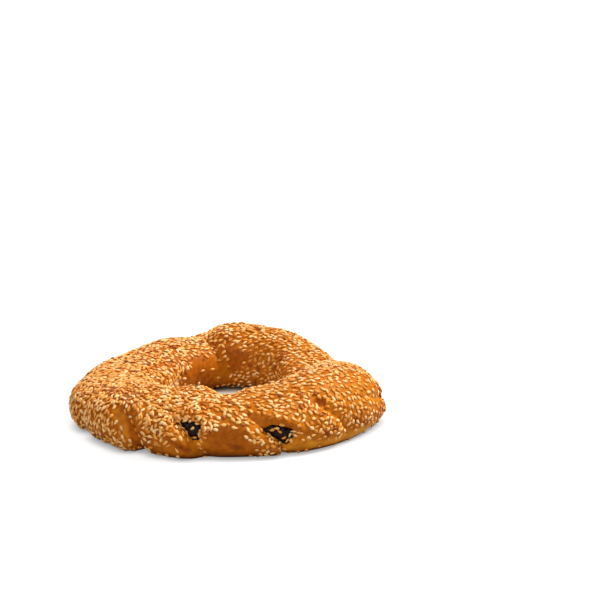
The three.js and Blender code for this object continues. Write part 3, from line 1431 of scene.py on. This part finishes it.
def scatter(mesh: Mesh, per_mm2: float, chance: Chance) -> Spots:
    """Scatter places evenly over a mesh.

    Args:
        mesh: the crust, in millimetres.
        per_mm2: how many places to a square millimetre.
        chance: where the random numbers come from.

    Returns:
        The places.
    """
    mesh.calc_loop_triangles()
    corners = np.empty(len(mesh.loop_triangles) * 3, np.int32)
    mesh.loop_triangles.foreach_get("vertices", corners)
    corners = corners.reshape(-1, 3)
    points, normals = coordinates(mesh), read_rows(mesh.vertex_normals, "vector", 3)
    a, b, c = (points[corners[:, i]] for i in range(3))
    area = np.linalg.norm(np.cross(b - a, c - a), axis=1) / 2
    count = int(area.sum() * per_mm2)
    chosen = chance.choice(len(area), count, p=area / area.sum())
    first, second = chance.random(count), chance.random(count)
    over = first + second > 1
    first[over], second[over] = 1 - first[over], 1 - second[over]
    share = np.stack([1 - first - second, first, second], axis=1)
    picked = corners[chosen]
    place = (points[picked] * share[:, :, None]).sum(axis=1)
    normal = unit((normals[picked] * share[:, :, None]).sum(axis=1))
    ring = np.degrees(np.arctan2(place[:, 1], place[:, 0]))
    section = read_rows(mesh.attributes["section_angle"].data, "value", 1)[:, 0]
    return Spots(place, normal, ring, section[picked[:, 0]])


@dataclass
class Seeds(Rows):
    """Seeds laid out: where each one is, its frame, its size and its tint."""

    middle: Array
    axes: Array
    size: Array
    tint: Array
    toast_and_shade: Array


@dataclass
class Sesame:
    """The sesame seeds, pressed on the dough before it was twisted and baked."""

    rope: Rope
    places: list[SplitPlace]
    filling: Filling
    length: float = 3.3
    width: float = 1.72
    thickness: float = 1.05
    tries_per_mm2: float = 1.3
    sparse: float = 0.115
    dense: float = 0.085
    steps: tuple[int, int] = (8, 5)
    jamming: float = 0.121
    lie_reach: float = 14.0
    lie_spread: float = 22.0
    least: float = 0.004
    under_base: float = 0.012
    stray_share: float = 0.12
    standing_share: float = 0.015
    size_spread: float = 0.07
    sunk: float = 0.28
    stacked: float = 0.75

    def density(self, spots: Spots) -> Array:
        """Find how thick the seeds lie.

        Args:
            spots: places on the crust.

        Returns:
            How many seeds lie on a square millimetre at each place.
        """
        value = self.sparse + self.dense * bell(turn_between(172, spots.ring), 85)
        side = np.cos(np.radians(spots.section))
        low = smooth_step(-np.sin(np.radians(spots.section)), 0.1, 0.75)
        value = value * (1 - 0.45 * low) * np.where(side < 0, 1 - 0.25 * low, 1)
        value = np.where(spots.normals[:, 2] < -0.8, self.under_base, value)
        for heap in HEAPS:
            value += heap.extra * self.rope.closeness(spots.points, heap.at, heap.reach)
        for patch in BARE_PATCHES:
            value *= 1 - patch.clear * patch.share(spots.ring, spots.section)
        for place in self.places:
            value = np.where(place.distance(spots.points) < -0.1, 0, value)
        return value

    def heading(self, spots: Spots, chance: Chance) -> Array:
        """Find the way each seed points: as those near it lie, but only roughly.

        Args:
            spots: where the seeds lie.
            chance: where the random numbers come from.

        Returns:
            A direction in the crust for each seed.
        """
        count = len(spots.points)
        along = polar(spots.ring + 90, np.ones(count), np.zeros(count))
        around = unit(np.cross(spots.normals, along))
        along = np.cross(around, spots.normals)
        pull = np.full((2, count), 1e-6)
        for ring, section, turn in LIE:
            share = self.rope.closeness(spots.points, (ring, section), self.lie_reach)
            double = math.radians(2 * turn)
            pull += np.stack([math.cos(double) * share, math.sin(double) * share])
        angle = np.arctan2(pull[1], pull[0]) / 2 + np.radians(chance.normal(0, self.lie_spread, count))
        mess = np.zeros(count)
        for heap in HEAPS:
            mess = np.maximum(mess, self.rope.closeness(spots.points, heap.at, heap.reach))
        stray = chance.random(count) < self.stray_share + 0.7 * mess
        angle = np.where(stray, chance.uniform(0, math.tau, count), angle)
        flip = np.where(chance.random(count) < 0.5, 1, -1)[:, None]
        return flip * (along * np.cos(angle)[:, None] - around * np.sin(angle)[:, None])

    def sow(self, mesh: Mesh) -> Seeds:
        """Lay the seeds on the crust, each where it finds room.

        Args:
            mesh: the crust, in millimetres.

        Returns:
            The seeds, leaning on each other where they lie thick.
        """
        chance = np.random.default_rng(SEED + 1)
        spots = scatter(mesh, self.tries_per_mm2, chance)
        density = self.density(spots)
        spots = spots.take(density > self.least)
        density = density[density > self.least]
        heading = self.heading(spots, chance)
        room = np.sqrt(self.jamming / density) * chance.uniform(0.82, 1.25, len(density))
        kept, lifts, leans = self.settle(spots.points, heading, room)
        return self.lay(spots.take(kept), heading[kept], np.array(lifts), np.array(leans), chance)

    def settle(self, points: Array, heading: Array, room: Array) -> tuple[list, list, list]:
        """Drop seeds one by one, and keep those that find room.

        Args:
            points: where each would lie.
            heading: the way each would point.
            room: the share of its own size that each needs clear.

        Returns:
            Those kept, how far each is lifted by one that it lies on, and the way to that one.
        """
        cell = self.length * 1.3
        grid: dict[tuple[int, int, int], list[int]] = {}
        kept, lifts, leans = [], [], []
        keys = np.floor(points / cell).astype(int)
        steps = [(x, y, z) for x in (-1, 0, 1) for y in (-1, 0, 1) for z in (-1, 0, 1)]
        half_long, half_wide = self.length / 2, self.width / 2
        for index in range(len(points)):
            place, way = points[index], heading[index]
            x, y, z = keys[index]
            near = [other for dx, dy, dz in steps for other in grid.get((x + dx, y + dy, z + dz), ())]
            lift, lean = 0.0, np.zeros(3)
            if near:
                offset = points[near] - place
                forward = offset @ way
                sideways = np.sqrt(np.maximum((offset**2).sum(axis=1) - forward**2, 0))
                gap = np.hypot(forward / half_long, sideways / half_wide) / 2
                closest = int(gap.argmin())
                if gap[closest] < room[index]:
                    continue
                if gap[closest] < 1:
                    lift, lean = 1 - gap[closest], offset[closest]
            kept.append(index)
            lifts.append(lift)
            leans.append(lean)
            grid.setdefault((x, y, z), []).append(index)
        return kept, lifts, leans

    def lay(self, spots: Spots, heading: Array, lifts: Array, leans: Array, chance: Chance) -> Seeds:
        """Turn places and headings into seeds with a frame and a size.

        Args:
            spots: where the seeds lie.
            heading: the way each points.
            lifts: how far each lies on another, from 0 to 1.
            leans: the way to that other seed.
            chance: where the random numbers come from.

        Returns:
            The seeds.
        """
        count = len(lifts)
        normal = spots.normals
        tilt = np.clip(lifts, 0, 0.5)[:, None]
        normal = unit(normal - unit(leans) * tilt * 0.9 + chance.normal(0, 0.12, (count, 3)))
        standing = (chance.random(count) < self.standing_share) & (spots.normals[:, 2] > 0.1)
        normal[standing] = unit(normal[standing] + chance.normal(0, 0.55, (standing.sum(), 3)))
        way = unit(heading - normal * (heading * normal).sum(axis=1, keepdims=True))
        side = np.cross(normal, way)
        scale = chance.normal(1, self.size_spread, (count, 3)).clip(0.8, 1.2)
        size = scale * np.array([self.length, self.width, self.thickness]) / 2
        raised = self.sunk + self.stacked * lifts + np.where(standing, 0.5, 0)
        middle = spots.points + spots.normals * raised[:, None]
        section = np.radians(spots.section)
        left = bell(turn_between(-160, spots.ring), 42) * smooth_step(np.sin(section), -0.2, 0.4)
        # Painted shadow: seeds on the back right of the hole's wall are picked more often from the darker
        # kinds, for the shade that falls there.
        inner = bell(turn_between(60, spots.ring), 50) * smooth_step(-np.cos(section), 0.2, 0.8)
        toast_and_shade = chance.random(count) ** (1 / (1 + left + 0.7 * inner))
        return Seeds(middle, np.stack([way, side, normal], axis=1), size, chance.random(count), toast_and_shade)

    def on_filling(self) -> Seeds:
        """Lay the few seeds that stick to the chocolate in the splits.

        Returns:
            The seeds.
        """
        chance = np.random.default_rng(SEED + 2)
        middles, axes, tints, toasts = [], [], [], []
        for place, spots in zip(self.places, FILLING_SEEDS):
            for x, y, turn in spots:
                height = self.filling.surface_at(place, x, y) + 0.2
                bulge = place.along * x * 0.05 + place.across * y * 0.12
                normal = unit(place.out + bulge + chance.normal(0, 0.2, 3))
                angle = math.radians(turn)
                way = place.along * math.cos(angle) + place.across * math.sin(angle)
                way = unit(way - normal * (way @ normal))
                middles.append(place.world(np.array([x, y, height])))
                axes.append(np.stack([way, np.cross(normal, way), normal]))
                tints.append(chance.random())
                toasts.append(chance.uniform(0.1, 0.75))
        size = np.tile(np.array([self.length, self.width, self.thickness]) / 2.2, (len(tints), 1))
        return Seeds(np.array(middles), np.array(axes), size, np.array(tints), np.array(toasts))

    def make_seed(self) -> tuple[Array, list[list[int]]]:
        """Model one seed: a flat drop of half sizes 1, pointed at its lower x.

        Returns:
            Its vertices, and the vertices of each face.
        """
        around, along = self.steps
        shape = bmesh.new()
        turn = Matrix.Rotation(math.pi / 2, 4, "Y")
        bmesh.ops.create_uvsphere(shape, u_segments=around, v_segments=along, radius=1, matrix=turn)
        bmesh.ops.recalc_face_normals(shape, faces=shape.faces[:])
        points = np.array([vertex.co for vertex in shape.verts])
        faces = [[vertex.index for vertex in face.verts] for face in shape.faces]
        shape.free()
        taper = ((1 + points[:, 0]) / 2).clip(0, 1) ** 0.45 * 1.25
        points[:, 1] *= taper
        points[:, 2] *= taper**0.7
        return points, faces

    def make_kind(self, toast_and_shade: Toast, seeds: Seeds) -> Piece:
        """Join seeds of one kind to a mesh.

        Args:
            toast_and_shade: the kind.
            seeds: where they lie.

        Returns:
            The piece, in millimetres.
        """
        points, faces = self.make_seed()
        count, each = len(seeds.tint), len(points)
        local = points[None] * seeds.size[:, None, :]
        placed = seeds.middle[:, None] + np.einsum("nvk,nkc->nvc", local, seeds.axes)
        placed[:, :, 2] = np.maximum(placed[:, :, 2], 0)
        firsts = range(0, count * each, each)
        corners = [[first + corner for corner in face] for first in firsts for face in faces]
        mesh = bpy.data.meshes.new("sesame_" + toast_and_shade.name.lower())
        mesh.from_pydata(placed.reshape(-1, 3).tolist(), [], corners)
        mesh.shade_smooth()
        set_attribute(mesh, "tint", np.repeat(seeds.tint, each))
        point = np.clip(-points[:, 0], 0, 1) ** 1.5
        set_attribute(mesh, "point", np.tile(point, count))
        return add_object(mesh.name, mesh)

    def build(self, crust: Mesh, groups: Groups) -> list[Piece]:
        """Sow the seeds and make a piece of each kind.

        Args:
            crust: the mesh of the crust, in millimetres.
            groups: the shared shader groups.

        Returns:
            The pieces, in millimetres.
        """
        seeds = self.sow(crust).join(self.on_filling())
        pieces = []
        low = 0.0
        for toast_and_shade in Toast:
            picked = seeds.take((seeds.toast_and_shade >= low) & (seeds.toast_and_shade < low + toast_and_shade.value))
            low += toast_and_shade.value
            piece = self.make_kind(toast_and_shade, picked)
            piece.data.materials.append(SeedFinish(piece.name, *SEED_COLOURS[toast_and_shade]).make(groups))
            log.info("%s: %d seeds, %d faces", piece.name, len(picked.tint), len(piece.data.polygons))
            pieces.append(piece)
        return pieces


# --- The stage ---


@dataclass
class Viewpoint:
    """Where the camera stands, and the pixel of its square frame that the middle of the base falls on."""

    elevation: float = 16.95
    distance: float = 806.5
    pixels_per_mm: float = 1.85
    pixel: tuple[float, float] = (232.3, 414.1)
    frame_size: int = 600

    def build(self, target: Array) -> Piece:
        """Make the camera, which looks past the ring so that it falls where it should in the frame.

        Args:
            target: the middle of the ring's base, in millimetres.

        Returns:
            The camera's object.
        """
        rise = math.radians(self.elevation)
        way = Vector((0, math.cos(rise), -math.sin(rise)))
        camera = bpy.data.cameras.new("camera")
        pixels = self.pixels_per_mm * self.distance
        camera.sensor_width = 36
        camera.lens = pixels / self.frame_size * camera.sensor_width
        camera.clip_start = 0.01
        holder = add_object("camera", camera)
        holder.location = (Vector(target) - way * self.distance) * MM
        middle = self.frame_size / 2
        pan = math.atan((middle - self.pixel[0]) / pixels)
        tip = math.atan((self.pixel[1] - middle) / pixels)
        holder.rotation_euler = Euler((math.pi / 2 - rise + tip, 0, -pan), "XYZ")
        bpy.context.scene.camera = holder
        return holder


@dataclass(frozen=True)
class SoftLight:
    """A far soft light, the same over the whole table."""

    name: str
    place: tuple[float, float, float]
    spread: float
    power: float

    def build(self) -> None:
        """Hang the light."""
        light = bpy.data.lights.new(self.name, "SUN")
        light.angle = math.radians(self.spread)
        light.energy = self.power
        holder = add_object(self.name, light)
        holder.location = self.place
        holder.rotation_euler = (-Vector(self.place)).to_track_quat("-Z", "Y").to_euler()


LIGHTS = (
    SoftLight("key", (0.75, 0.15, 1.0), 13, 3.5),
    SoftLight("rim", (-0.5, 1.0, 0.9), 30, 0.8),
    SoftLight("front", (-0.35, -1.0, 0.75), 20, 1.15),
)


@dataclass(frozen=True)
class Table:
    """The white table under the bread, which glows for the camera: its shadows are painted into that glow,
    pale in the open but deep where the bread stands close round.
    """

    size: float = 6.0
    white: float = 0.78
    bounce: Colour = (0.5, 0.5, 0.5)
    seen: Colour = (0.19, 0.194, 0.198)
    painted_shade_warmth: Colour = (0.9, 0.55, 0.3)
    unlit: Colour = (0.0, 0.0, 0.0)
    hole_reach: tuple[float, float] = (48, 64)
    shadow_reaches: tuple[float, float, float] = (6, 20, 45)

    def build(self) -> None:
        """Make the table."""
        shape = bmesh.new()
        bmesh.ops.create_grid(shape, x_segments=1, y_segments=1, size=self.size)
        table = add_object("table", take_mesh(shape, "table"))
        board = Surface("table")
        camera = board.add("LightPath").outputs["Is Camera Ray"]
        place = board.add("TexCoord").outputs["Object"]
        middle = board.add("VectorMath", {0: place}, operation="LENGTH").outputs["Value"]
        low, high = self.hole_reach
        open_air = board.range(middle, low * MM, high * MM)
        # Painted shadows: how much sky the table sees near the bread dims the glow the camera sees, and in
        # the hole the glow and the base colour turn dark and warm.
        close, deep, wide = (self.open_sky(board, reach) for reach in self.shadow_reaches)
        lit = board.maths("MAXIMUM", open_air, board.range(deep, 0.18, 0.78, (0.02, 0.9)))
        near, far = board.range(close, 0, 1, (0.42, 1.0)), board.range(wide, 0, 1, (0.84, 1.0))
        shade = board.maths("MULTIPLY", board.maths("MULTIPLY", near, far), lit)
        strength = board.maths("MULTIPLY", camera, board.maths("MULTIPLY", shade, self.white))
        board.dress(
            Base_Color=board.blend(camera, self.bounce, board.blend(lit, self.unlit, self.seen)),
            Emission_Color=board.blend(lit, self.painted_shade_warmth, WHITE),
            Emission_Strength=strength,
            Roughness=0.7,
            Specular_IOR_Level=0.1,
        )
        table.data.materials.append(board.material)

    def open_sky(self, board: Surface, reach: float) -> Socket:
        """Return how much of the sky the table sees past what stands within a reach."""
        return board.add("AmbientOcclusion", {"Distance": reach * MM}, samples=8).outputs["AO"]


def make_world(strength: float, seen: float = 1.0) -> None:
    """Make the even white light of a studio, whose far wall looks brighter than the light it gives.

    Args:
        strength: the light that it gives.
        seen: how bright the camera sees it.
    """
    world = bpy.data.worlds.new("studio")
    world.use_nodes = True
    tree = Tree(world.node_tree)
    background = world.node_tree.nodes["Background"]
    tree.put(background.inputs["Color"], WHITE)
    camera = tree.add("LightPath").outputs["Is Camera Ray"]
    bright = tree.add("MapRange", {"Value": camera, "To Min": strength, "To Max": seen})
    tree.put(background.inputs["Strength"], bright.outputs[0])
    bpy.context.scene.world = world


# --- The material, which reads from the mesh how baked the crust is, with the painted shade added to that. ---

SPLITS = (
    Split(
        (-106.5, 12),
        3.0,
        (
            *((-7.6, 2.6), (-5.2, 4.2), (-1.0, 4.4), (2.6, 4.2), (5.1, 2.6)),
            *((5.0, -1.0), (4.3, -4.3), (1.1, -5.0), (-3.1, -0.5)),
        ),
    ),
    Split(
        (-73.0, -2),
        1.4,
        (
            *((-8.2, 2.0), (-4.7, 4.4), (0.0, 4.2), (4.9, 2.3), (7.5, -0.5)),
            *((6.4, -2.7), (3.5, -6.2), (2.0, -5.8), (-0.9, -2.9), (-4.9, -0.9)),
        ),
    ),
)


def settle_in_frame(piece: Piece, offset: Array) -> None:
    """Move a finished mesh from the rope's own frame to the part's, and scale it to metres."""
    set_coordinates(piece.data, (coordinates(piece.data) + offset) * MM)


def ring_offset(crust: Mesh) -> Array:
    """Find how far the rope's own frame is from the part's: the two boxes share their middle.

    Args:
        crust: the mesh of the crust, in millimetres.

    Returns:
        The offset, in millimetres.
    """
    points = coordinates(crust)
    low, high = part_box("dough")
    middle = (np.array(low) + np.array(high)) / 2 / MM
    own = (points.min(axis=0) + points.max(axis=0)) / 2
    return np.array([middle[0] - own[0], middle[1] - own[1], 0.0])


def main() -> None:
    """Build the bread, piece by piece, and the studio round it."""
    scene = bpy.context.scene
    scene.view_settings.view_transform = "Standard"
    scene.view_settings.look = "Medium High Contrast"
    groups = Groups()
    rope = Rope()
    places = [SplitPlace(split, rope) for split in SPLITS]

    dough = Dough(rope, places)
    crust = dough.make_crust()
    offset = ring_offset(crust)
    bread = add_object("dough_crust", crust)
    crust.materials.append(CrustFinish().make(groups))
    filling = Filling(rope, places)
    pieces = Sesame(rope, places, filling).build(crust, groups)
    dough.cut(bread, CrumbFinish().make(groups))
    log.info("%s: %d faces", bread.name, len(bread.data.polygons))
    core = filling.make()
    core.data.materials.clear()
    core.data.materials.append(ChocolateFinish().make(groups))
    log.info("%s: %d faces", core.name, len(core.data.polygons))

    for piece in [bread, core, *pieces]:
        settle_in_frame(piece, offset)
        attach(piece, "root")
    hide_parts("dough")
    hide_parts("filling")

    Viewpoint().build(offset)
    for light in LIGHTS:
        light.build()
    Table().build()
    make_world(0.11)


if __name__ == "__main__":
    logging.basicConfig(level=logging.INFO, format="%(name)s: %(message)s")
    main()
